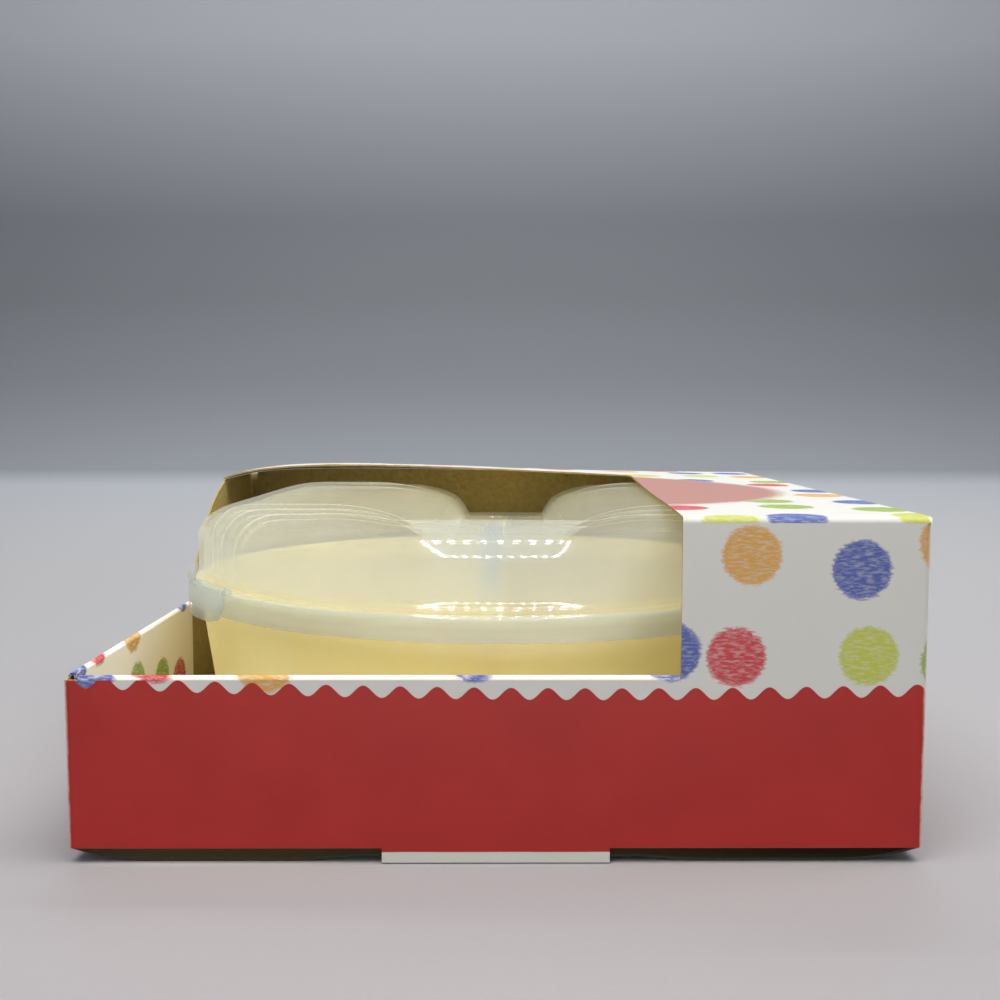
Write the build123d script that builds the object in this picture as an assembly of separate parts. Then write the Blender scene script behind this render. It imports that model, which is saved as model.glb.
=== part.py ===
from build123d import *
import os
from math import sqrt

os.makedirs("parts", exist_ok=True)

# Round two-compartment food container standing in a shallow board carton with a
# cut-away window. Origin at the centre of the footprint on the floor, front is -Y.

# Carton
side_play = 2.7             # between the lid's rim and the side walls
end_play = 2.7              # between the lid's rim and the front and back walls
top_play = 0.3              # between the domes' crests and the top panel
floor_sag = 3.1             # the walls' lower edge above the floor
board = 0.5                 # thickness of the board
fold_radius = 1.2           # outer radius of every crease
fold_gap = 0.1              # between two panels at a crease

# Carton, the low walls and the window
low_wall_height = 32.9      # from the walls' lower edge to the rolled fold
front_full_width = 47.2     # full-height part of the front panel, at its right end
left_low_length = 88.0      # low part of the left panel, from the front
left_full_length = 34.0     # full-height part of the left panel, at the back
left_cut_bulge = 9.0        # how far the rising cut bends away from straight
window_slant = 5.5          # how far the window's right edge leans to the right
window_back = 37.0          # board left between the window and the back, at the right
window_back_bow = 6.5       # how far the window's back edge bends towards the back
window_corner_radius = 5.0
window_corner_run = 15.0    # straight start of the window's back edge, at the right
cut_margin = 1.0            # how far the window's cutter reaches past the board
top_bow = 7.8               # pull of the bow at the left, about twice its height
top_bow_right = 1.0         # pull of the bow at the right
bow_reach = 0.8             # where the bow pulls most, as a share of the half width
bow_front = 0.5             # a place between the middle and the front crease, as a share
bow_front_share = 0.12      # the bow there, as a share of the free edge's
bow_middle = 0.4            # a place between the middle and the free edge, as a share
bow_middle_share = 0.55
back_bow_share = 0.5        # the bow at the back crease

# Carton, flaps
tuck_length = 15.0
tuck_gap = 1.0              # play between the tuck flap and the back panel
tuck_side_gap = 3.0
liner_height = 22.0
liner_gap = 0.6             # between the outer and inner layer of a low wall
liner_end_gap = 3.0
seam_width = 14.0
seam_gap = 0.05
flap_end_gap = 1.0          # bottom flaps' ends inside the front and back panels
flap_meet_gap = 1.0         # between the two bottom flaps, in the middle
flap_flat_start = 66.0      # the flaps lie on the floor from here, from the middle
flap_flat_end = 40.0        # to here
flap_middle_start = 26.0    # and are level again from here inwards
flap_middle_lift = 0.9
tongue_width = 44.0
tongue_depth = 32.0
tongue_lift = 0.25
clear = 0.3                 # between pieces that only rest against each other

# Container, its place in the carton
container_shift = 1.0
container_turn = -1.7

# Tub
tub_radius = 76.5           # outside, under the lip
tub_height = 45.0           # from the foot to the top of the lip
tub_wall = 1.6
tub_draft = 6.2             # how much smaller the radius is at the foot
foot_radius = 7.0           # rounding between wall and floor
foot_ring = 1.2             # height of the ring the tub stands on
foot_ring_width = 2.0
foot_ring_inset = 9.0
lip_width = 0.8
lip_height = 2.0
divider_wall = 1.5
compartment_fillet = 4.0

# Lid
lid_wall = 1.2
skirt_play = 0.6            # between the tub's lip and the skirt
skirt_height = 6.1
skirt_wall = 1.4
rim_round = 1.1
rim_width = 2.8             # from the skirt's outside to the drum's
dome_height = 18.3          # from the rim to the crest of a dome
dome_crest = 39.0           # crest's distance from the middle
dome_flat = 17.0            # level width of the crest, outwards
valley_depth = 12.3
valley_half_width = 12.8
shoulder_radius = 10.0
bridge_drop = 2.8           # the front bridge below the domes' crests
bridge_depth = 34.0         # from the drum's front inwards
bridge_round = 8.0
rib_wall = 0.9
rib_depth = 3.0
web_wall = 1.2
tab_angle = 53.9            # from the front towards the left
tab_width = 20.0
tab_reach = 2.2
tab_drop = 1.0              # how far its lip hangs below the skirt
tab_rise = 0.6
tab_wall = 1.3

# Places and sizes worked out from these, from the tub's foot outwards and upwards
foot_z = flap_middle_lift + board + clear
tub_top = foot_z + tub_height
lip_radius = tub_radius + lip_width
skirt_radius = lip_radius + skirt_play + skirt_wall
drum_radius = skirt_radius - rim_width
shelf_under = tub_top + clear
rim_z = shelf_under + lid_wall
crest_z = rim_z + dome_height
valley_under = crest_z - valley_depth - lid_wall
divider_top = valley_under - clear
half_width = skirt_radius + side_play + board
half_depth = skirt_radius + end_play + board
carton_width = 2 * half_width
carton_depth = 2 * half_depth
wall_bottom = floor_sag
low_top = wall_bottom + low_wall_height
top_z = crest_z + top_play + board
crease_z = top_z - fold_radius
wall_top = top_z - board - fold_gap
window_x = half_width - front_full_width
tuck_face = half_depth - board - tuck_gap


def save(shape, name):
    shape.label = name
    export_step(shape, f"parts/{name}.step")


def corner_fold(x, y, start_angle, low, high):
    """A quarter-round crease between two walls."""
    ring = Circle(fold_radius) - Circle(fold_radius - board)
    ring &= Pos(fold_radius / 2, fold_radius / 2) * Rectangle(fold_radius, fold_radius)
    return extrude(Pos(x, y, low) * Rot(0, 0, start_angle) * ring, high - low)


def profile_bar(lower_edges, lift, start, length):
    """A bent board along Y, from the lines of its lower face in X and Z."""
    lower = Wire(lower_edges)
    upper = Wire([edge.moved(Location((0, lift, 0))) for edge in lower_edges])
    ends = [Line(lower @ 0, upper @ 0), Line(lower @ 1, upper @ 1)]
    face = make_face([*lower.edges(), *upper.edges(), *ends])
    plane = Plane(origin=(0, start, 0), x_dir=(1, 0, 0), z_dir=(0, -1, 0))
    return extrude(plane * face, -length)


# Front panel: the low wall, the full-height part at the right, the corner folds at
# both ends, and the lug that carries the bottom tongue
def front_panel():
    left = -half_width + fold_radius
    right = half_width - fold_radius
    lug = tongue_width / 2
    lug_low = tongue_lift + board
    outline = [
        (left, wall_bottom), (-lug, wall_bottom), (-lug, lug_low), (lug, lug_low),
        (lug, wall_bottom), (right, wall_bottom), (right, crease_z),
        (window_x, crease_z), (window_x, low_top), (left, low_top),
    ]
    plane = Plane(origin=(0, -half_depth, 0), x_dir=(1, 0, 0), z_dir=(0, -1, 0))
    panel = extrude(plane * make_face(Polyline(*outline, close=True)), -board)
    panel += corner_fold(left, -half_depth + fold_radius, 180, wall_bottom, low_top)
    panel += corner_fold(right, -half_depth + fold_radius, 270, wall_bottom, crease_z)
    return panel


# Right and back panels: plain full-height walls, the back one with the rear corner folds
def right_panel():
    length = carton_depth - 2 * fold_radius
    wall = Box(board, length, wall_top - wall_bottom, align=(Align.MAX, Align.CENTER, Align.MIN))
    return Pos(half_width, 0, wall_bottom) * wall


def back_panel():
    length = carton_width - 2 * fold_radius
    wall = Box(length, board, wall_top - wall_bottom, align=(Align.CENTER, Align.MAX, Align.MIN))
    panel = Pos(0, half_depth, wall_bottom) * wall
    centre = half_width - fold_radius
    panel += corner_fold(centre, half_depth - fold_radius, 0, wall_bottom, wall_top)
    panel += corner_fold(-centre, half_depth - fold_radius, 90, wall_bottom, wall_top)
    return panel


# Left panel: low in front, with a curved cut that rises to full height at the back
def left_panel():
    front = -half_depth + fold_radius
    back = half_depth - fold_radius
    low_end = -half_depth + left_low_length
    full_start = half_depth - left_full_length
    middle = ((low_end + full_start) / 2 - left_cut_bulge, (low_top + wall_top) / 2)
    cut = ThreePointArc((low_end, low_top), middle, (full_start, wall_top))
    edges = Polyline(
        (full_start, wall_top), (back, wall_top), (back, wall_bottom),
        (front, wall_bottom), (front, low_top), (low_end, low_top),
    )
    plane = Plane(origin=(-half_width, 0, 0), x_dir=(0, 1, 0), z_dir=(1, 0, 0))
    return extrude(plane * make_face([*edges.edges(), cut]), board)


# Liners: the low walls' inner layer, folded over the rolled top edge
def liner(length):
    """A liner along X that starts at 0, its outer face on Y = 0, rolled at the top."""
    roll = board + liner_gap / 2
    sheet = Box(length, board, liner_height, align=(Align.MIN, Align.MIN, Align.MAX))
    inner = Pos(0, board + liner_gap, low_top) * sheet
    ring = Circle(roll) - Circle(roll - board)
    ring &= Pos(0, roll / 2) * Rectangle(2 * roll, roll)
    plane = Plane(origin=(0, roll, low_top), x_dir=(0, 1, 0), z_dir=(1, 0, 0))
    return inner + extrude(plane * ring, length)


def front_liner():
    length = window_x + half_width - liner_end_gap - fold_gap
    return Pos(-half_width + liner_end_gap, -half_depth, 0) * liner(length)


def left_liner():
    length = left_low_length - 2 * liner_end_gap
    piece = Rot(0, 0, -90) * liner(length)
    return Pos(-half_width, -half_depth + liner_end_gap + length, 0) * piece


# Seam flap: glued inside the right panel, creased to the back panel
def seam_flap():
    flap = Box(board, seam_width, wall_top - wall_bottom - 2 * tuck_length,
               align=(Align.MAX, Align.MAX, Align.MIN))
    x = half_width - board - seam_gap
    return Pos(x, half_depth - fold_radius, wall_bottom + fold_radius) * flap


# Top panel: hinged on the front crease, bowed up, with the window cut out of it
def bow_edge(share, height):
    return Bezier(
        (-half_width, height), (-bow_reach * half_width, height + top_bow * share),
        (0, height + top_bow_right * share), (half_width, height),
    )


def bow_section(y, share):
    low, high = bow_edge(share, top_z - board), bow_edge(share, top_z)
    face = make_face([low.edge(), high.edge(), Line(low @ 0, high @ 0).edge(),
                      Line(low @ 1, high @ 1).edge()])
    return Plane(origin=(0, y, 0), x_dir=(1, 0, 0), z_dir=(0, -1, 0)) * face


def window():
    free_y = half_depth - window_back
    corner_x = window_x + window_slant
    far = half_width + cut_margin
    front = -half_depth - cut_margin
    side = FilletPolyline((window_x, front), (corner_x, free_y),
                          (corner_x - window_corner_run, free_y + window_back_bow / 2),
                          radius=window_corner_radius)
    back = ThreePointArc(side @ 1, (corner_x / 2 - half_width / 2, free_y + window_back_bow),
                         (-far, free_y))
    rest = Polyline((-far, free_y), (-far, front), (window_x, front))
    face = make_face([*side.edges(), back.edge(), *rest.edges()])
    return extrude(face, top_z + top_bow)


def top_panel():
    front = -half_depth + fold_radius
    free_y = half_depth - window_back
    sections = [
        bow_section(front, 0.0), bow_section(bow_front * front, bow_front_share),
        bow_section(bow_middle * free_y, bow_middle_share), bow_section(free_y, 1.0),
        bow_section(tuck_face, back_bow_share),
    ]
    panel = loft(sections)
    ring = Circle(fold_radius) - Circle(fold_radius - board)
    ring &= Pos(-fold_radius / 2, fold_radius / 2) * Rectangle(fold_radius, fold_radius)
    plane = Plane(origin=(-half_width, front, crease_z), x_dir=(0, 1, 0), z_dir=(1, 0, 0))
    panel += extrude(plane * ring, carton_width)
    return panel - window()


def tuck_flap():
    side = half_width - tuck_side_gap
    low = wall_top - tuck_length
    top = bow_edge(back_bow_share, top_z - board - fold_gap)
    sheet = make_face([top.edge(), *Polyline(top @ 1, (half_width, low), (-half_width, low),
                                             top @ 0).edges()])
    sheet &= Pos(0, (low + top_z + top_bow) / 2) * Rectangle(2 * side, top_z + top_bow - low)
    plane = Plane(origin=(0, tuck_face, 0), x_dir=(1, 0, 0), z_dir=(0, -1, 0))
    return extrude(plane * sheet, board)


# Bottom: two side flaps that sag to the floor, and two tongues that close the middle
def bottom_flap():
    """The right-hand flap; it hangs from the right panel's lower edge."""
    start = wall_bottom - board
    slope = Spline((half_width, start), (flap_flat_start, 0), tangents=((-1, -0.3), (-1, 0)))
    flat = Line((flap_flat_start, 0), (flap_flat_end, 0))
    rise = Spline((flap_flat_end, 0), (flap_middle_start, flap_middle_lift),
                  tangents=((-1, 0), (-1, 0)))
    middle = Line((flap_middle_start, flap_middle_lift), (flap_meet_gap / 2, flap_middle_lift))
    edges = [slope.edge(), flat.edge(), rise.edge(), middle.edge()]
    return profile_bar(edges, board, -half_depth + board + flap_end_gap,
                       carton_depth - 2 * (board + flap_end_gap))


def front_tongue():
    sheet = Box(tongue_width, tongue_depth, board, align=(Align.CENTER, Align.MIN, Align.MIN))
    return Pos(0, -half_depth, tongue_lift) * sheet


def back_tongue():
    sheet = mirror(front_tongue(), about=Plane.XZ)
    lug = Box(tongue_width, board, wall_bottom - tongue_lift - board,
              align=(Align.CENTER, Align.MAX, Align.MIN))
    return sheet + Pos(0, half_depth, tongue_lift + board) * lug


# Tub: a tapered bowl on a foot ring, with a lip and the dividing wall
def tub():
    low = foot_z + foot_ring
    foot = tub_radius - tub_draft
    under_lip = tub_top - lip_height
    blank = make_face(Polyline((0, low), (foot, low), (tub_radius, under_lip),
                               (lip_radius, under_lip), (lip_radius, tub_top), (0, tub_top), close=True))
    hollow_foot = foot - tub_wall
    hollow_top = tub_radius - tub_wall
    hollow = make_face(Polyline((0, low + tub_wall), (hollow_foot, low + tub_wall),
                                (hollow_top, tub_top), (0, tub_top), close=True))
    body = revolve(Plane.XZ * blank, Axis.Z)
    body = fillet(body.edges().filter_by(GeomType.CIRCLE).sort_by(Axis.Z)[0], foot_radius)
    cavity = revolve(Plane.XZ * hollow, Axis.Z)
    middle = Pos(0, 0, low) * Box(divider_wall, 2 * skirt_radius, tub_top,
                                  align=(Align.CENTER, Align.CENTER, Align.MIN))
    cavity -= middle
    lower = cavity.edges().filter_by(lambda edge: edge.center().Z < under_lip)
    body -= fillet(lower, compartment_fillet)
    reach = sqrt((drum_radius - lid_wall - clear) ** 2 - (divider_wall / 2) ** 2)
    fin = Box(divider_wall, 2 * reach, divider_top - tub_top,
              align=(Align.CENTER, Align.CENTER, Align.MIN))
    body += Pos(0, 0, tub_top) * fin
    ring_out = foot - foot_ring_inset
    ring = Cylinder(ring_out, foot_ring, align=(Align.CENTER, Align.CENTER, Align.MIN))
    ring -= Cylinder(ring_out - foot_ring_width, foot_ring,
                     align=(Align.CENTER, Align.CENTER, Align.MIN))
    return body + Pos(0, 0, foot_z) * ring


# Lid: two domes with a valley between them, joined by a bridge across the front
def dome_block(inset):
    """The raised part, or with an inset the hollow inside it."""
    base = shelf_under - inset
    rim, crest = rim_z - inset, crest_z - inset
    valley = crest_z - valley_depth - inset
    radius = drum_radius - inset
    half = valley_half_width + inset
    edges = [Line((-half, valley), (half, valley)), Line((-radius, base), (radius, base))]
    crest_end = dome_crest + dome_flat
    for side, outer_start in ((1, 0), (-1, 90)):
        edges += [
            EllipticalCenterArc((side * crest_end, rim), radius - crest_end, crest - rim,
                                start_angle=outer_start, arc_size=90),
            Line((side * crest_end, crest), (side * dome_crest, crest)),
            EllipticalCenterArc((side * dome_crest, valley), dome_crest - half, crest - valley,
                                start_angle=90 - outer_start, arc_size=90),
            Line((side * radius, rim), (side * radius, base)),
        ]
    plane = Plane(origin=(0, 0, 0), x_dir=(1, 0, 0), z_dir=(0, -1, 0))
    block = extrude(plane * make_face([line.edge() for line in edges]), radius, both=True)
    bridge_top = crest_z - bridge_drop - inset
    back = -drum_radius + bridge_depth - inset
    side_view = make_face(Polyline((-radius, base), (-radius, bridge_top), (back, bridge_top),
                                   (back, base), close=True))
    plane = Plane(origin=(-dome_crest, 0, 0), x_dir=(0, 1, 0), z_dir=(1, 0, 0))
    bridge = extrude(plane * side_view, 2 * dome_crest)
    edge = bridge.edges().filter_by(Axis.X).sort_by(Axis.Z)[-2:].sort_by(Axis.Y)[-1]
    block += fillet(edge, bridge_round - inset)
    shoulder = shoulder_radius - inset
    outline = make_face([
        *Polyline((radius, crest - shoulder), (radius, base), (0, base), (0, crest),
                  (radius - shoulder, crest)).edges(),
        RadiusArc((radius - shoulder, crest), (radius, crest - shoulder), shoulder).edge(),
    ])
    return block & revolve(Plane.XZ * outline, Axis.Z)


def lift_tab():
    """Grip at the rim: a short shelf with a lip that hangs down."""
    reach = skirt_radius + tab_reach
    low = rim_z - skirt_height - tab_drop
    block = Pos(reach / 2, 0, low) * Box(reach, tab_width, rim_z + tab_rise - low,
                                        align=(Align.CENTER, Align.CENTER, Align.MIN))
    inside = reach - tab_wall
    hollow = Pos(inside / 2, 0, low) * Box(inside, tab_width, rim_z + tab_rise - tab_wall - low,
                                          align=(Align.CENTER, Align.CENTER, Align.MIN))
    shell = block - hollow
    shell = fillet(shell.edges().filter_by(Axis.Y).sort_by(Axis.Z)[-1], tab_wall)
    shell -= Pos(0, 0, low) * Cylinder(drum_radius, 2 * skirt_height + tab_drop + tab_rise,
                                       align=(Align.CENTER, Align.CENTER, Align.MIN))
    return Rot(0, 0, -90 - tab_angle) * shell


def lid():
    """Ribs guide the divider, and under the bridge a web closes the gap above it."""
    skirt_low = rim_z - skirt_height
    rim = Pos(0, 0, skirt_low) * Cylinder(skirt_radius, skirt_height,
                                          align=(Align.CENTER, Align.CENTER, Align.MIN))
    rim = fillet(rim.edges().sort_by(Axis.Z)[-1], rim_round)
    rim -= Pos(0, 0, skirt_low) * Cylinder(skirt_radius - skirt_wall, skirt_height - lid_wall,
                                           align=(Align.CENTER, Align.CENTER, Align.MIN))
    body = rim + dome_block(0) + lift_tab()
    hollow = dome_block(lid_wall)
    body -= hollow
    rib_x = divider_wall / 2 + clear + rib_wall / 2
    for side in (1, -1):
        rib = Pos(side * rib_x, 0, valley_under) * Box(rib_wall, 2 * skirt_radius, 2 * rib_depth)
        body += rib & hollow
    channel = Box(2 * rib_x + rib_wall, 2 * skirt_radius, lid_wall,
                  align=(Align.CENTER, Align.CENTER, Align.MIN))
    channel += Box(web_wall, 2 * skirt_radius, dome_height,
                   align=(Align.CENTER, Align.CENTER, Align.MIN))
    return body + (Pos(0, 0, valley_under) * channel & hollow)


save(front_panel(), "carton_front_panel")
save(right_panel(), "carton_right_panel")
save(back_panel(), "carton_back_panel")
save(left_panel(), "carton_left_panel")
save(front_liner(), "carton_front_liner")
save(left_liner(), "carton_left_liner")
save(seam_flap(), "carton_side_seam_flap")
save(top_panel(), "carton_top_panel")
save(tuck_flap(), "carton_tuck_flap")
save(bottom_flap(), "carton_bottom_right_flap")
save(mirror(bottom_flap(), about=Plane.YZ), "carton_bottom_left_flap")
save(front_tongue(), "carton_bottom_front_tongue")
save(back_tongue(), "carton_bottom_back_tongue")

place = Pos(container_shift, 0, 0) * Rot(0, 0, container_turn)
save(place * tub(), "tub")
save(place * lid(), "lid")
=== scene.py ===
import math

import bmesh
import bpy
from mathutils import Matrix, Vector


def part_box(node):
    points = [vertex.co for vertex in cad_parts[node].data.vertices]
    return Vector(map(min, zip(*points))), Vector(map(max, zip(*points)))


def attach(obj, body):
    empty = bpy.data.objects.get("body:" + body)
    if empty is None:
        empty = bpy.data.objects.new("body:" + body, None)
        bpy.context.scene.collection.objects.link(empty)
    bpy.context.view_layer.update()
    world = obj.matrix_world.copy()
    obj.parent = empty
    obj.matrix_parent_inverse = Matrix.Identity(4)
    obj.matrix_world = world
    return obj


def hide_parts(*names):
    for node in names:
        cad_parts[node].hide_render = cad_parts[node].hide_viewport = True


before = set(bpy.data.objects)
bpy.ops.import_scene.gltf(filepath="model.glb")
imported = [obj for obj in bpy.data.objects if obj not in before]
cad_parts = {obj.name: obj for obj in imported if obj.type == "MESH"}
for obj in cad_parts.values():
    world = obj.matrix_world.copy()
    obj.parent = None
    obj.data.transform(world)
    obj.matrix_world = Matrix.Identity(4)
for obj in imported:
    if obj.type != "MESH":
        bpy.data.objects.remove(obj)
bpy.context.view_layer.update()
mm = 0.001

# Camera: where the photograph was taken from, low in front of the carton and looking a
# little down. The lens gives the photograph's field of view on a 36 mm sensor.
camera_place = Vector((-0.2, -291.0, 86.5)) * mm
camera_pitch = math.radians(4.40)
camera_yaw = math.radians(-0.26)
camera_roll = math.radians(0.05)

camera_data = bpy.data.cameras.new("camera")
camera_data.lens = 40.0
camera_data.sensor_width = 36.0
camera_data.clip_start = 0.01
camera = bpy.data.objects.new("camera", camera_data)
camera.matrix_world = (
    Matrix.Translation(camera_place) @ Matrix.Rotation(camera_yaw, 4, "Z")
    @ Matrix.Rotation(math.pi / 2 - camera_pitch, 4, "X") @ Matrix.Rotation(camera_roll, 4, "Z"))
bpy.context.scene.collection.objects.link(camera)
bpy.context.scene.camera = camera
bpy.context.scene.view_settings.view_transform = "Standard"


# Studio: a sweep of matt grey paper, level under the carton and bent up behind it. Its
# colour has the light's fall-off painted in: palest around the carton, darker behind it
# and paler again higher up.
def linear(hex_colour):
    """An sRGB hex colour as the linear colour that a shader socket takes."""
    channels = [int(hex_colour[i:i + 2], 16) / 255 for i in (1, 3, 5)]
    return [c / 12.92 if c <= 0.04045 else ((c + 0.055) / 1.055) ** 2.4 for c in channels] + [1.0]


def material(name):
    """A material with an empty node tree."""
    made = bpy.data.materials.new(name)
    made.use_nodes = True
    made.node_tree.nodes.clear()
    return made, made.node_tree


def node(tree, kind, inputs, output=0, stops=(), **settings):
    """Adds a node with its settings and gives one of its outputs. Each input is a value or
    the output that feeds it; stops are the places and colours of a colour ramp."""
    made = tree.nodes.new("ShaderNode" + kind)
    for key, value in settings.items():
        setattr(made, key, value)
    for i, (place, colour) in enumerate(stops):
        elements = made.color_ramp.elements
        stop = elements[i] if i < 2 else elements.new(place)
        stop.position = place
        stop.color = linear(colour)
    for key, value in inputs.items():
        if isinstance(value, bpy.types.NodeSocket):
            tree.links.new(value, made.inputs[key])
        else:
            made.inputs[key].default_value = value
    return made.outputs[output] if made.outputs else None


def piece(name, shape, finish, smooth=True):
    """Turns a bmesh into an object of that name and finish."""
    mesh = bpy.data.meshes.new(name)
    for face in shape.faces:
        face.smooth = smooth
    shape.to_mesh(mesh)
    shape.free()
    mesh.materials.append(finish)
    made = bpy.data.objects.new(name, mesh)
    bpy.context.scene.collection.objects.link(made)
    return made


sweep_side = 2.6
sweep_front = -1.1
sweep_back = 1.45
sweep_radius = 0.3
sweep_top = 2.2
bend_steps = 24
tone_lead = 0.3             # the tones start this far in front of the carton's middle
tone_length = 3.6
painted_light_tones = [(0.0, "#97959a"), (0.13, "#a0a1a5"), (0.38, "#bfc2c5"), (0.60, "#85878b"),
         (0.69, "#74767a"), (0.78, "#97989b")]
paper_grain = 900.0         # grains in a metre, 1.1 mm each: coarser than real, so that they show
paper_relief = 0.06 * mm

# Uncoated paper: a high roughness, so the floor keeps soft shadows and takes no glints
paper, tree = material("matt grey backdrop paper")
place = node(tree, "TexCoord", {}, "Object")
back = node(tree, "SeparateXYZ", {"Vector": place}, "Y")
up = node(tree, "SeparateXYZ", {"Vector": place}, "Z")
run = node(tree, "Math", {0: back, 1: up}, operation="ADD")
run = node(tree, "Math", {0: run, 1: tone_lead}, operation="ADD")
run = node(tree, "Math", {0: run, 1: tone_length}, operation="DIVIDE")
# the colour ramp is painted light: the tone follows the light's fall-off over one grey paper
painted_light_tone = node(tree, "ValToRGB", {"Fac": run}, stops=painted_light_tones)
grain = node(tree, "TexNoise", {"Vector": place, "Scale": paper_grain})
relief = node(tree, "Bump", {"Height": grain, "Distance": paper_relief})
skin = node(tree, "BsdfPrincipled", {"Base Color": painted_light_tone, "Roughness": 0.62, "Normal": relief})
node(tree, "OutputMaterial", {"Surface": skin})

shape = bmesh.new()
line = [shape.verts.new((-sweep_side, sweep_front, 0.0))]
for step in range(bend_steps + 1):
    angle = step / bend_steps * math.pi / 2
    line.append(shape.verts.new((-sweep_side, sweep_back + sweep_radius * math.sin(angle),
                                 sweep_radius * (1 - math.cos(angle)))))
line.append(shape.verts.new((-sweep_side, sweep_back + sweep_radius, sweep_top)))
edges = [shape.edges.new(pair) for pair in zip(line, line[1:])]
swept = bmesh.ops.extrude_edge_only(shape, edges=edges)["geom"]
bmesh.ops.translate(shape, vec=(2 * sweep_side, 0, 0),
                    verts=[v for v in swept if isinstance(v, bmesh.types.BMVert)])
bmesh.ops.recalc_face_normals(shape, faces=shape.faces)
piece("backdrop", shape, paper)


# Lamps: a broad soft panel overhead, a weak one behind it, one on the paper behind, and a
# frame of bare LEDs behind the camera, which glints as rows of dots in the lid's shoulder
def lamp(name, place, aim, size, watts, colour):
    """A rectangular lamp that shines on everything but isn't seen in glossy surfaces."""
    data = bpy.data.lights.new(name, "AREA")
    data.shape = "RECTANGLE"
    data.size, data.size_y = size
    data.energy = watts
    data.color = linear(colour)[:3]
    made = bpy.data.objects.new(name, data)
    made.location = place
    made.rotation_euler = (Vector(aim) - Vector(place)).to_track_quat("-Z", "Y").to_euler()
    made.visible_glossy = False
    bpy.context.scene.collection.objects.link(made)


lamp("overhead_panel", (0.08, -0.26, 0.82), (0.0, 0.0, 0.0), (1.4, 0.5), 13.5, "#fffaf4")
lamp("back_panel", (0.0, 0.45, 0.80), (0.0, 0.0, 0.0), (0.8, 0.3), 2.0, "#fffaf4")
lamp("backdrop_wash", (0.0, 0.7, 1.5), (0.0, 1.8, 0.7), (2.4, 0.4), 29.0, "#f4f8ff")
world = bpy.data.worlds.new("studio")
bpy.context.scene.world = world
world.use_nodes = True
sky = world.node_tree.nodes["Background"]
sky.inputs["Color"].default_value = linear("#dfe2e8")
sky.inputs["Strength"].default_value = 0.16

led_depth = -0.67
led_top = 0.78
led_top_reach = 0.42
led_top_size = (0.022, 0.014, 0.090)
led_bottom = 0.14
led_bottom_reach = 0.22
led_bottom_size = (0.009, 0.014, 0.034)
led_count = 11
led_glow = 130.0
led_strip = 0.006           # half the width of the strips at the frame's sides

glow, tree = material("bare LEDs")
skin = node(tree, "BsdfPrincipled", {
    "Base Color": linear("#000000"), "Emission Color": linear("#fff9ee"),
    "Emission Strength": led_glow})
node(tree, "OutputMaterial", {"Surface": skin})

shape = bmesh.new()
rows = ((led_top, led_top_reach, led_top_size), (led_bottom, led_bottom_reach, led_bottom_size))
for height, reach, size in rows:
    for i in range(led_count):
        x = -reach + 2 * reach * i / (led_count - 1)
        bmesh.ops.create_cube(shape, size=1.0, matrix=Matrix.LocRotScale(
            (x, led_depth, height), None, size))
for side in (-1, 1):
    top = Vector((side * led_top_reach, led_depth, led_top))
    low = Vector((side * led_bottom_reach, led_depth, led_bottom))
    across = Vector((led_strip, 0, 0))
    shape.faces.new([shape.verts.new(p) for p in (low - across, low + across,
                                                  top + across, top - across)])
led_frame = piece("led_frame", shape, glow)
led_frame.visible_diffuse = False
led_frame.visible_camera = False

# Carton board: folding boxboard, 0.5 mm thick. Its clay-coated outer face is printed with
# crayon dots and, on the walls, a red band with a scalloped edge. Its back and its cut
# edges are bare grey-brown pulp. One shader does both, from the way a face points.
half_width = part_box("carton_right_panel")[1].x
roof_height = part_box("carton_right_panel")[1].z
print_limit = 0.5           # share of an outward-pointing normal past which a face is printed

scallop_middle = 33.35 * mm
scallop_pitch = 7.05 * mm
scallop_shift = 3.8 * mm
scallop_swing = 1.15 * mm
scallop_dip = 24.0 * mm     # the edge dips to its lowest here, right of the middle,
scallop_bow = 0.22          # and rises to both sides by this share of the distance squared
band_foot = 2.3 * mm
band_sharpness = 9000.0
band_mottle = 55.0          # patches in a metre, 18 mm each
dot_spacing = 18.5 * mm
dot_radius = 6.0 * mm
dot_scatter = 0.42
dot_sharpness = 30.0
crayons = ["#c23642", "#4458a6", "#cf9c48", "#8aa63c", "#4458a6", "#b9c24a"]
stroke_slant = 0.7          # in radians
stroke_scale = (500.0, 1900.0, 1.0)     # a stroke is about 2 mm long and 0.5 mm wide
stroke_overrun = 0.16       # as a share of the dots' spacing
wax_gaps = (0.30, 0.55)     # where the wax skips the coating, and where it covers it
wax_cover = 0.5             # the least cover, in the gaps
patch_centre = (20.0 * mm, roof_height - 8.0 * mm, 0.0)
patch_radius = 51.0 * mm
patch_edge = 2 * mm
patch_overrun = 0.04
crease_zone = 1.2 * mm
scuff_grain = 380.0         # chips in a metre, 2.6 mm each
crease_line_sharpness = 1300.0
fibre_grain = 650.0         # fibres in a metre, 1.5 mm each: coarser than real, so that they show
cloud_grain = 60.0          # clouds in a metre, 17 mm each
board_relief = 0.09 * mm
bare_roughness = 0.88
coating_gloss = 0.46        # by this much the coated face is smoother than the bare one


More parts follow.
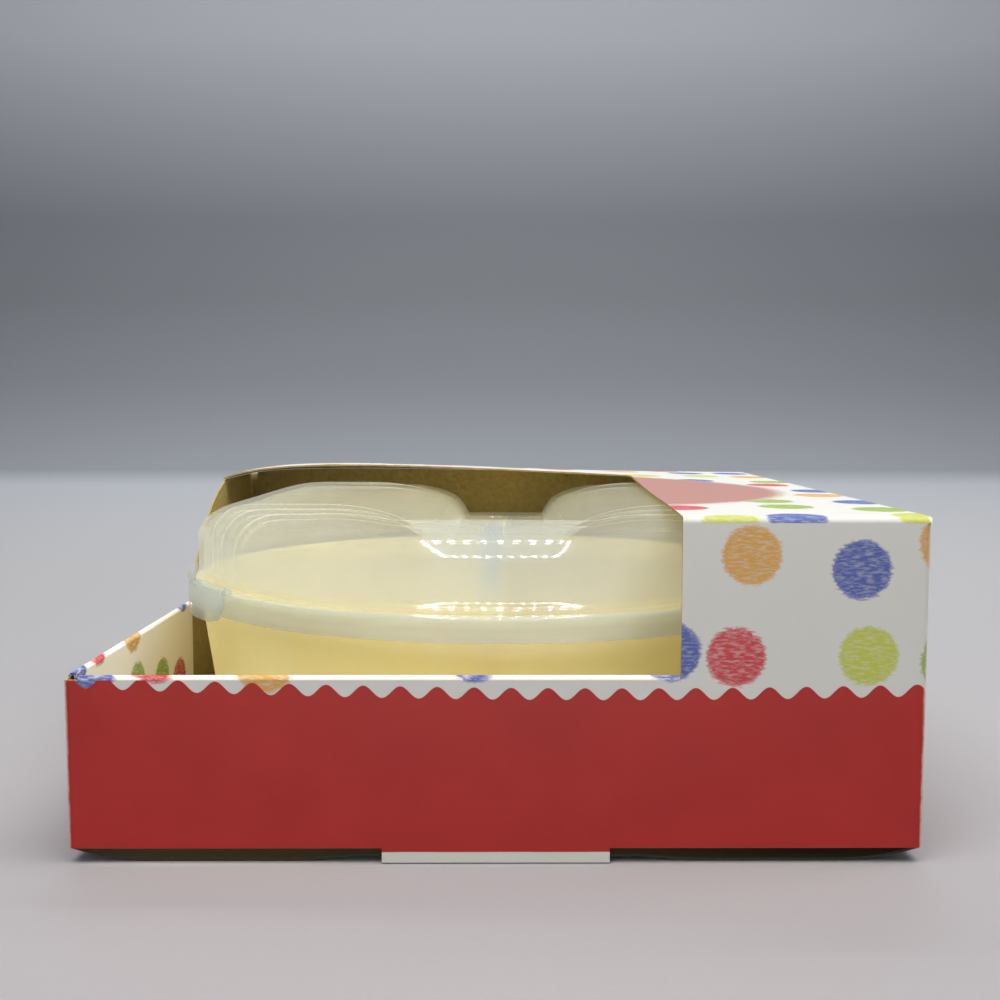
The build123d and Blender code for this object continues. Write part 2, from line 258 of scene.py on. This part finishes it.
def printed_board(name, along, across, outward, radial, bias=0.0, dots=1.0, band=False,
                  patch=False, painted_shade=0.0, white="#d2d5d2"):
    """The board; along and across lay the print out flat, outward and radial say which
    faces carry it: those that point that way, or away from the carton's middle. The coated
    face has a soft sheen and the bare one is dull."""
    made, tree = material(name)
    place = node(tree, "TexCoord", {}, "Object")
    normal = node(tree, "TexCoord", {}, "Normal")
    sideways = node(tree, "SeparateXYZ", {"Vector": place}, "X")
    height = node(tree, "SeparateXYZ", {"Vector": place}, "Z")

    # the print is where a face points outward, or away from the middle
    spokes = (radial / half_width, radial / half_width, 0.0)
    spokes = node(tree, "VectorMath", {0: place, 1: spokes}, operation="MULTIPLY")
    spokes = node(tree, "VectorMath", {0: normal, 1: spokes}, "Value", operation="DOT_PRODUCT")
    facing = node(tree, "VectorMath", {0: normal, 1: outward}, "Value", operation="DOT_PRODUCT")
    facing = node(tree, "Math", {0: facing, 1: spokes}, operation="ADD")
    facing = node(tree, "Math", {0: facing, 1: bias}, operation="ADD")
    outside = node(tree, "Math", {0: facing, 1: print_limit}, operation="GREATER_THAN")
    run = node(tree, "VectorMath", {0: place, 1: along}, "Value", operation="DOT_PRODUCT")
    rise = node(tree, "VectorMath", {0: place, 1: across}, "Value", operation="DOT_PRODUCT")
    flat = node(tree, "CombineXYZ", {"X": run, "Y": rise})

    # crayon dots: cells of a loose grid, filled with slanting strokes up to a ragged edge
    grid = {"Vector": flat, "Scale": 1 / dot_spacing, "Randomness": dot_scatter}
    reach = node(tree, "TexVoronoi", grid, "Distance", voronoi_dimensions="2D")
    pick = node(tree, "TexVoronoi", grid, "Color", voronoi_dimensions="2D")
    pick = node(tree, "SeparateColor", {"Color": pick}, "Red")
    slant = node(tree, "Mapping", {
        "Vector": flat, "Rotation": (0.0, 0.0, stroke_slant), "Scale": stroke_scale})
    strokes = node(tree, "TexNoise", {
        "Vector": slant, "Scale": 1.0, "Detail": 3.0, "Roughness": 0.6})
    ragged = node(tree, "Math", {0: strokes, 1: 0.5}, operation="SUBTRACT")
    ragged = node(tree, "Math", {0: ragged, 1: stroke_overrun}, operation="MULTIPLY")
    reach = node(tree, "Math", {0: reach, 1: ragged}, operation="ADD")
    inked = node(tree, "Math", {0: dot_radius / dot_spacing, 1: reach}, operation="SUBTRACT")
    inked = node(tree, "Math", {0: inked, 1: dot_sharpness}, operation="MULTIPLY")
    inked = node(tree, "Clamp", {"Value": inked, "Max": dots})
    waxy = node(tree, "MapRange", {
        "Value": strokes, "From Min": wax_gaps[0], "From Max": wax_gaps[1], "To Min": wax_cover})
    stops = [(i / len(crayons), colour) for i, colour in enumerate(crayons)]
    palette = node(tree, "ValToRGB", {"Fac": pick}, stops=stops)
    palette.node.color_ramp.interpolation = "CONSTANT"

    ground = linear(white)
    if patch:
        # a pale pink field, rubbed in with the side of the crayon, beside the window
        away = node(tree, "VectorMath", {0: flat, 1: patch_centre}, "Value", operation="DISTANCE")
        rubbed = node(tree, "Math", {0: ragged, 1: patch_overrun}, operation="MULTIPLY")
        away = node(tree, "Math", {0: away, 1: rubbed}, operation="ADD")
        field = node(tree, "MapRange", {
            "Value": away, "From Min": patch_radius + patch_edge,
            "From Max": patch_radius - patch_edge})
        ground = node(tree, "Mix", {0: field, 6: ground, 7: linear("#ab8079")}, 2, data_type="RGBA")
        bare = node(tree, "Math", {0: 1.0, 1: field}, operation="SUBTRACT")
        inked = node(tree, "Math", {0: inked, 1: bare}, operation="MULTIPLY")
    if band:
        above = node(tree, "Math", {0: height, 1: band_foot}, operation="GREATER_THAN")
        inked = node(tree, "Math", {0: inked, 1: above}, operation="MULTIPLY")
    inked = node(tree, "Math", {0: inked, 1: waxy}, operation="MULTIPLY")
    colour = node(tree, "Mix", {0: inked, 6: ground, 7: palette}, 2, data_type="RGBA")

    if band:
        # the red band, from just above the lower edge up to its scalloped edge
        turns = 2 * math.pi / scallop_pitch
        wave = node(tree, "Math", {0: run, 1: scallop_shift}, operation="ADD")
        wave = node(tree, "Math", {0: wave, 1: turns}, operation="MULTIPLY")
        wave = node(tree, "Math", {0: wave}, operation="SINE")
        wave = node(tree, "Math", {0: wave, 1: scallop_swing}, operation="MULTIPLY")
        bow = node(tree, "Math", {0: sideways, 1: scallop_dip}, operation="SUBTRACT")
        bow = node(tree, "Math", {0: bow, 1: bow}, operation="MULTIPLY")
        bow = node(tree, "Math", {0: bow, 1: scallop_bow}, operation="MULTIPLY")
        edge = node(tree, "Math", {0: wave, 1: bow}, operation="ADD")
        edge = node(tree, "Math", {0: edge, 1: scallop_middle}, operation="ADD")
        top = node(tree, "Math", {0: edge, 1: height}, operation="SUBTRACT")
        foot = node(tree, "Math", {0: height, 1: band_foot}, operation="SUBTRACT")
        inside = node(tree, "Math", {0: top, 1: foot}, operation="MINIMUM")
        inside = node(tree, "Math", {0: inside, 1: band_sharpness}, operation="MULTIPLY")
        inside = node(tree, "Clamp", {"Value": inside})
        mottle = node(tree, "TexNoise", {"Vector": flat, "Scale": band_mottle, "Detail": 4.0})
        red = node(tree, "ValToRGB", {"Fac": mottle}, stops=[(0.3, "#a3110f"), (0.7, "#ac1714")])
        colour = node(tree, "Mix", {0: inside, 6: colour, 7: red}, 2, data_type="RGBA")

    # a pale line along the upright creases: partly painted highlight where the folds catch the
    # light, partly scuffs where the coating is rubbed through
    spread = node(tree, "VectorMath", {0: place}, operation="ABSOLUTE")
    spread_x = node(tree, "SeparateXYZ", {"Vector": spread}, "X")
    spread_y = node(tree, "SeparateXYZ", {"Vector": spread}, "Y")
    scuffs = node(tree, "TexNoise", {
        "Vector": place, "Scale": scuff_grain, "Detail": 5.0, "Roughness": 0.7})
    scuffs = node(tree, "Math", {0: scuffs, 1: 1.0}, operation="SUBTRACT")
    crease_highlight_and_scuffs = node(tree, "Math", {0: spread_x, 1: spread_y}, operation="MINIMUM")
    crease_highlight_and_scuffs = node(tree, "Math", {0: crease_highlight_and_scuffs, 1: half_width - crease_zone}, operation="SUBTRACT")
    crease_highlight_and_scuffs = node(tree, "Math", {0: crease_highlight_and_scuffs, 1: crease_line_sharpness}, operation="MULTIPLY")
    crease_highlight_and_scuffs = node(tree, "Math", {0: crease_highlight_and_scuffs, 1: scuffs}, operation="ADD")
    crease_highlight_and_scuffs = node(tree, "Clamp", {"Value": crease_highlight_and_scuffs})
    colour = node(tree, "Mix", {0: crease_highlight_and_scuffs, 6: colour, 7: linear("#e9ded2")}, 2, data_type="RGBA")

    # bare pulp: short fibres in slow clouds, darkened by painted shade where the flaps lie in the
    # shadow under the carton
    fibres = node(tree, "TexNoise", {
        "Vector": place, "Scale": fibre_grain, "Detail": 6.0, "Roughness": 0.7})
    clouds = node(tree, "TexNoise", {"Vector": place, "Scale": cloud_grain, "Detail": 3.0})
    pulp = node(tree, "ValToRGB", {"Fac": fibres},
                stops=[(0.30, "#827242"), (0.50, "#ae9c62"), (0.72, "#c3b47b")])
    pulp = node(tree, "Mix", {0: clouds, 6: pulp, 7: linear("#a08f58")}, 2, data_type="RGBA")
    pulp = node(tree, "Mix", {0: painted_shade, 6: pulp, 7: linear("#20180e")}, 2, data_type="RGBA")
    colour = node(tree, "Mix", {0: outside, 6: pulp, 7: colour}, 2, data_type="RGBA")
    dull = node(tree, "Math", {0: outside, 1: coating_gloss}, operation="MULTIPLY")
    dull = node(tree, "Math", {0: bare_roughness, 1: dull}, operation="SUBTRACT")
    relief = node(tree, "Math", {0: fibres, 1: 0.6}, operation="MULTIPLY")
    relief = node(tree, "Math", {0: relief, 1: clouds}, operation="ADD")
    relief = node(tree, "Bump", {"Height": relief, "Distance": board_relief, "Strength": 0.6})
    skin = node(tree, "BsdfPrincipled", {
        "Base Color": colour, "Roughness": dull, "Specular IOR Level": 0.3, "Normal": relief})
    node(tree, "OutputMaterial", {"Surface": skin})
    return made


walls = printed_board("folding boxboard, walls", (1, 1, 0), (0, 0, 1), (0, 0, 0), 1.0, band=True)
# the lining's white is painted paler than the walls' white: a painted highlight for the light
# bounced onto it
lining = printed_board("folding boxboard, lining", (1, 1, 0), (0, 0, 1), (0, 0, 1), 0.0, bias=1.0,
                       white="#fdf9ef")
roof = printed_board("folding boxboard, top", (1, 0, 0), (0, 1, 1), (0, 0, 1), 1.0, patch=True)
# the flaps' bare pulp is darkened almost to black: painted shade for the shadow under the carton
flaps = printed_board("folding boxboard, flaps", (1, 0, 0), (0, 1, 0), (0, 0, -1), 0.0, dots=0.0,
                      painted_shade=0.95)
tongues = printed_board("folding boxboard, tongues", (1, 0, 0), (0, 1, 0), (0, 0, -1), 1.0,
                        dots=0.0)
board_of = {
    walls: ["carton_front_panel", "carton_right_panel", "carton_back_panel", "carton_left_panel",
            "carton_tuck_flap", "carton_side_seam_flap"],
    lining: ["carton_front_liner", "carton_left_liner"],
    roof: ["carton_top_panel"],
    flaps: ["carton_bottom_left_flap", "carton_bottom_right_flap"],
    tongues: ["carton_bottom_front_tongue", "carton_bottom_back_tongue"],
}
for board, names in board_of.items():
    for name in names:
        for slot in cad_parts[name].material_slots:
            slot.material = board

# Tub: injection-moulded polypropylene in cream yellow. The wall is satin with faint upright
# flow lines. Light gets into it by subsurface scattering, and a weak emission adds a
# painted glow on top.
flow_scale = (150.0, 150.0, 6.0)        # a flow line is about 7 mm wide and runs up the wall
pebble_grain = 1800.0                   # the mould's texture, 0.6 mm: coarser than real
pebble_relief = 0.03 * mm

yellow, tree = material("moulded polypropylene, cream yellow")
place = node(tree, "TexCoord", {}, "Object")
flow = node(tree, "Mapping", {"Vector": place, "Scale": flow_scale})
flow = node(tree, "TexNoise", {"Vector": flow, "Scale": 1.0, "Detail": 3.0})
cream = node(tree, "ValToRGB", {"Fac": flow}, stops=[(0.2, "#f5e6ae"), (0.8, "#f8ecbc")])
pebble = node(tree, "TexNoise", {"Vector": place, "Scale": pebble_grain})
relief = node(tree, "Bump", {"Height": pebble, "Distance": pebble_relief})
# the emission is a painted glow, added to the light that the subsurface scattering lets in
skin = node(tree, "BsdfPrincipled", {
    "Base Color": cream, "Roughness": 0.36, "Subsurface Weight": 0.6,
    "Subsurface Radius": (1.0, 0.85, 0.6), "Subsurface Scale": 8.0 * mm,
    "Emission Color": linear("#f4dc92"), "Emission Strength": 0.18, "Normal": relief})
node(tree, "OutputMaterial", {"Surface": skin})
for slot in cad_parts["tub"].material_slots:
    slot.material = yellow

# Lid: thin frosted polyethylene over the tub's lip. Two loaf-shaped domes run from front to
# back with a valley between them, and a bridge joins them across the front. All of it is
# rounded off to one drum, and three fine ridges arch across each end of the domes.
tub_low, tub_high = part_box("tub")
crest_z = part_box("lid")[1].z
lid_turn = math.radians(-1.7)
lid_centre = Vector(((tub_low.x + tub_high.x) / 2, 0.0, 0.0))
lip_radius = (tub_high.x - tub_low.x) / 2
skirt_radius = lip_radius + 2.0 * mm
drum_radius = skirt_radius - 2.8 * mm
lid_wall = 1.2 * mm
dome_height = 18.3 * mm
rim_z = crest_z - dome_height
dome_crest = 39.0 * mm      # crest's distance from the middle
crest_end = dome_crest + 17.0 * mm      # the crest is level outwards as far as here
valley_z = crest_z - 12.3 * mm
valley_half_width = 12.8 * mm
shoulder_radius = 10.0 * mm
bridge_z = crest_z - 2.8 * mm
bridge_back = -drum_radius + 34.0 * mm
bridge_round = 8.0 * mm
bridge_half = 25.0 * mm
side_wall = 2.5 * mm        # least height of the drum's wall, at the left and right
blend = 1.2 * mm            # softness where two forms meet
ridges = (41.5 * mm, 46.5 * mm, 51.5 * mm)      # arches across the domes, from the middle
ridge_fall = 0.7 * mm
ridge_run = 2.5 * mm
ridge_fade = 0.6            # share of the bridge's half width at which the ridges run out
ridge_line = 0.7 * mm
ridge_paleness = 0.4
skirt_height = 6.1 * mm
bead_height = 2.4 * mm
bead_step = 0.45 * mm
rim_round = 1.1 * mm
rim_ledge = 0.6 * mm
hem = 0.3 * mm              # the last of the skirt, drawn in towards the tub
hem_draw = 1.3              # as a share of the bead's step
skirt_middle = 0.7          # share of the skirt's height


def soft_max(a, b):
    """The higher of two forms, blended softly where they meet."""
    return (a + b + math.sqrt((a - b) ** 2 + blend ** 2)) / 2


def quarter(distance, run, rise):
    """Height of a quarter ellipse at a distance from its crest."""
    share = min(abs(distance) / run, 1.0)
    return rise * math.sqrt(1 - share ** 2)


def domes_at(x, y):
    """Top of the domes, the valley and the bridge, before the drum rounds them off."""
    side = abs(x)
    if side > crest_end:
        height = rim_z + quarter(side - crest_end, drum_radius - crest_end, dome_height)
    elif side > dome_crest:
        height = crest_z
    else:
        height = valley_z + quarter(side - dome_crest, dome_crest - valley_half_width,
                                    crest_z - valley_z)
    past = y - (bridge_back - bridge_round)
    if past < 0:
        bridge = bridge_z
    elif y < bridge_back:
        bridge = bridge_z - bridge_round + quarter(past, bridge_round, bridge_round)
    else:
        bridge = rim_z
    return soft_max(height, bridge)


def lid_height(x, y):
    """Outer face of the lid inside the drum's edge, with the ridges."""
    radius = math.hypot(x, y)
    drum = crest_z + blend
    inner = drum_radius - shoulder_radius
    if radius > inner:
        drum += quarter(radius - inner, shoulder_radius, shoulder_radius) - shoulder_radius
    height = -soft_max(-domes_at(x, y), -drum)
    fade = min(max(abs(x) / bridge_half - ridge_fade, 0.0), 1.0)
    for ridge in ridges:
        share = min(max((abs(y) - ridge) / ridge_run, 0.0), 1.0)
        height -= ridge_fall * share * share * (3 - 2 * share) * fade
    return min(max(height, rim_z + side_wall), crest_z)


# Polyethylene frosted by the mould: it clouds what lies behind it, most where it stands
# upright, lets light through to its inside, and takes small sharp glints
see_through = (0.54, 0.80)  # light that passes one surface straight: upright walls, tops
scatter_share = 0.6         # of the clouded light, what passes on to the inside
shine_share = 0.06
haze_grain = 90.0           # patches of haze in a metre, 11 mm each
ripple_grain = 35.0         # ripples of the moulding in a metre, 29 mm each
ripple_relief = 0.2 * mm

frosted, tree = material("frosted polyethylene")
place = node(tree, "TexCoord", {}, "Object")
normal = node(tree, "TexCoord", {}, "Normal")
haze = node(tree, "TexNoise", {"Vector": place, "Scale": haze_grain, "Detail": 3.0})
milky = node(tree, "ValToRGB", {"Fac": haze}, stops=[(0.3, "#eff4f0"), (0.7, "#f5f9f7")])
ripple = node(tree, "TexNoise", {"Vector": place, "Scale": ripple_grain, "Detail": 1.0})
ripple = node(tree, "Bump", {"Height": ripple, "Distance": ripple_relief, "Strength": 0.3})
rise = node(tree, "SeparateXYZ", {"Vector": normal}, "Z")
rise = node(tree, "Math", {0: rise}, operation="ABSOLUTE")
clear_share = node(tree, "MapRange", {
    "Value": rise, "To Min": see_through[0], "To Max": see_through[1]})

# pale lines along the front ridges, strongest at the sides and none on the skirt
forward = (math.sin(lid_turn), -math.cos(lid_turn), 0.0)
level = node(tree, "VectorMath", {0: place, 1: lid_centre}, operation="SUBTRACT")
level = node(tree, "VectorMath", {0: level, 1: (1, 1, 0)}, operation="MULTIPLY")
along = node(tree, "VectorMath", {0: level, 1: forward}, "Value", operation="DOT_PRODUCT")
side = node(tree, "SeparateXYZ", {"Vector": level}, "X")
side = node(tree, "Math", {0: side}, operation="ABSOLUTE")
side = node(tree, "Math", {0: side, 1: bridge_half}, operation="DIVIDE")
side = node(tree, "Math", {0: side, 1: side}, operation="MULTIPLY")
side = node(tree, "Math", {0: side, 1: 1.0}, operation="MINIMUM")
above = node(tree, "SeparateXYZ", {"Vector": place}, "Z")
above = node(tree, "Math", {0: above, 1: rim_z + side_wall}, operation="GREATER_THAN")
side = node(tree, "Math", {0: side, 1: above}, operation="MULTIPLY")
for ridge in ridges:
    away = node(tree, "Math", {0: along, 1: ridge}, operation="SUBTRACT")
    away = node(tree, "Math", {0: away}, operation="ABSOLUTE")
    pale = node(tree, "MapRange", {
        "Value": away, "From Min": 0.0, "From Max": ridge_line,
        "To Min": ridge_paleness, "To Max": 0.0})
    pale = node(tree, "Math", {0: pale, 1: side}, operation="MULTIPLY")
    clear_share = node(tree, "Math", {0: clear_share, 1: pale}, operation="SUBTRACT")

# the cloudy part's emission is a painted glow, for light scattered inside the plastic
cloudy = node(tree, "BsdfPrincipled", {
    "Base Color": milky, "Roughness": 0.30, "Normal": ripple,
    "Emission Color": linear("#eef2f0"), "Emission Strength": 0.20})
passing = node(tree, "BsdfTranslucent", {"Color": milky})
clear = node(tree, "BsdfTransparent", {"Color": linear("#f7f9fa")})
shine = node(tree, "BsdfGlossy", {"Roughness": 0.05, "Normal": ripple})
cloudy = node(tree, "MixShader", {0: scatter_share, 1: cloudy, 2: passing})
skin = node(tree, "MixShader", {0: clear_share, 1: cloudy, 2: clear})
skin = node(tree, "MixShader", {0: shine_share, 1: skin, 2: shine})
node(tree, "OutputMaterial", {"Surface": skin})

round_turns = 320
flat_steps = 60
shoulder_steps = 20
wall_rows = 5
corner_steps = 5
merge_distance = 0.001 * mm
inner = drum_radius - shoulder_radius
radii = [inner * i / flat_steps for i in range(flat_steps + 1)]
radii += [inner + shoulder_radius * math.sin(math.pi / 2 * i / shoulder_steps)
          for i in range(1, shoulder_steps + 1)]
corner_angles = [math.pi / 2 * i / corner_steps for i in range(corner_steps + 1)]
rim_profile = [(drum_radius, rim_z), (drum_radius + rim_ledge, rim_z)]
rim_profile += [(skirt_radius - rim_round * (1 - math.sin(a)), rim_z - rim_round * (1 - math.cos(a)))
                for a in corner_angles]
rim_profile += [
    (skirt_radius, rim_z - bead_height + bead_step),
    (skirt_radius - bead_step, rim_z - bead_height),
    (skirt_radius - bead_step, rim_z - skirt_height * skirt_middle),
    (skirt_radius - bead_step, rim_z - skirt_height + hem),
    (skirt_radius - bead_step * hem_draw, rim_z - skirt_height),
]


def spin_round(shape, profile):
    """Spins a line of (radius, height) points about the lid's axis."""
    line = [shape.verts.new((radius, 0, height)) for radius, height in profile]
    edges = [shape.edges.new(pair) for pair in zip(line, line[1:])]
    bmesh.ops.spin(shape, geom=line + edges, cent=(0, 0, 0), axis=(0, 0, 1), dvec=(0, 0, 0),
                   angle=2 * math.pi, steps=round_turns, use_merge=True, use_duplicate=False)
    bmesh.ops.remove_doubles(shape, verts=shape.verts, dist=merge_distance)


# the top and the drum's wall are spun with 1 for the top's height and 0 for the rim's, and
# each point then takes its share of the height that the lid has there
to_carton = Matrix.Translation(lid_centre) @ Matrix.Rotation(lid_turn, 4, "Z")
shape = bmesh.new()
spin_round(shape, [(radius, 1.0) for radius in radii]
           + [(drum_radius, 1 - row / wall_rows) for row in range(1, wall_rows + 1)])
for vert in shape.verts:
    vert.co.z = rim_z + (lid_height(vert.co.x, vert.co.y) - rim_z) * vert.co.z
spin_round(shape, rim_profile)
bmesh.ops.recalc_face_normals(shape, faces=shape.faces)
shape.transform(to_carton)
lid = piece("lid_shell", shape, frosted)
wall = lid.modifiers.new("wall", "SOLIDIFY")
wall.thickness = lid_wall
wall.offset = -1.0
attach(lid, "lid")
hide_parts("lid")

# Guide channel: two thin ribs under the valley that take the tub's divider between them,
# and a web that closes the bridge above it. They are moulded with the lid.
divider_half = 0.75 * mm
channel_play = 0.3 * mm
rib_wall = 0.9 * mm
rib_x = divider_half + channel_play + rib_wall / 2
rib_low = valley_z - lid_wall - 3.0 * mm
rib_reach = drum_radius - 2.0 * mm
rib_steps = 60
rib_root = lid_wall * 0.8   # a rib ends this far under the lid's outer face, inside its wall
web_wall = 1.2 * mm
web_low = tub_high.z + channel_play


def fin(shape, x, thickness, start, end, low):
    """An upright sheet along Y, from a level edge up into the lid."""
    line = [shape.verts.new((x - thickness / 2, start + (end - start) * i / rib_steps, low))
            for i in range(rib_steps + 1)]
    edges = [shape.edges.new(pair) for pair in zip(line, line[1:])]
    risen = bmesh.ops.extrude_edge_only(shape, edges=edges)["geom"]
    for vert in [v for v in risen if isinstance(v, bmesh.types.BMVert)]:
        vert.co.z = lid_height(x, vert.co.y) - rib_root
    sheet = [f for f in risen if isinstance(f, bmesh.types.BMFace)]
    thick = bmesh.ops.extrude_face_region(shape, geom=sheet)["geom"]
    bmesh.ops.translate(shape, vec=(thickness, 0, 0),
                        verts=[v for v in thick if isinstance(v, bmesh.types.BMVert)])


shape = bmesh.new()
for side in (-1, 1):
    fin(shape, side * rib_x, rib_wall, -rib_reach, rib_reach, rib_low)
fin(shape, 0.0, web_wall, -rib_reach, bridge_back, web_low)
bmesh.ops.recalc_face_normals(shape, faces=shape.faces)
shape.transform(to_carton)
channel = piece("lid_channel", shape, frosted, smooth=False)
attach(channel, "lid")

# Lift tab: a curved lip of the same polyethylene, moulded on the rim at the front left. It
# stands off the rim, so that a thumb gets under it to pull the lid up.
tab_angle = math.radians(-90.0 - 53.9)
tab_half = 10.0 * mm
tab_reach = 2.2 * mm
tab_rise = 0.6 * mm
tab_top = rim_z + tab_rise
tab_low = rim_z - skirt_height - 1.0 * mm
tab_round = 1.6 * mm
tab_wall = 1.2 * mm
tab_lap = 0.5 * mm          # the tab starts this far outside the drum
tab_turns = 32
tab_squareness = 6          # a high power keeps the tab full until near its two ends
end_reach = 0.35            # shares of the reach and the drop that are left at the ends
end_drop = 0.45
tab_out = skirt_radius + tab_reach
profile = [(drum_radius + tab_lap, rim_z), (skirt_radius, tab_top)]
profile += [(tab_out - tab_round * (1 - math.sin(a)), tab_top - tab_round * (1 - math.cos(a)))
            for a in corner_angles]
profile += [(tab_out, (tab_top + tab_low) / 2), (tab_out - hem, tab_low)]

shape = bmesh.new()
columns = []
for i in range(tab_turns + 1):
    share = 2 * i / tab_turns - 1
    across = share * tab_half
    full = math.sqrt(1 - abs(share) ** tab_squareness)
    column = []
    for radius, height in profile:
        reach = skirt_radius + (radius - skirt_radius) * (end_reach + (1 - end_reach) * full)
        drop = (tab_top - height) * (end_drop + (1 - end_drop) * full)
        column.append(shape.verts.new((math.sqrt(reach ** 2 - across ** 2), across, tab_top - drop)))
    columns.append(column)
for near, far in zip(columns, columns[1:]):
    for k in range(len(profile) - 1):
        shape.faces.new((near[k], near[k + 1], far[k + 1], far[k]))
bmesh.ops.recalc_face_normals(shape, faces=shape.faces)
if sum(face.normal.z for face in shape.faces) < 0:
    bmesh.ops.reverse_faces(shape, faces=shape.faces)
shape.transform(to_carton @ Matrix.Rotation(tab_angle, 4, "Z"))
tab = piece("lid_tab", shape, frosted)
wall = tab.modifiers.new("wall", "SOLIDIFY")
wall.thickness = tab_wall
wall.offset = -1.0
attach(tab, "lid")
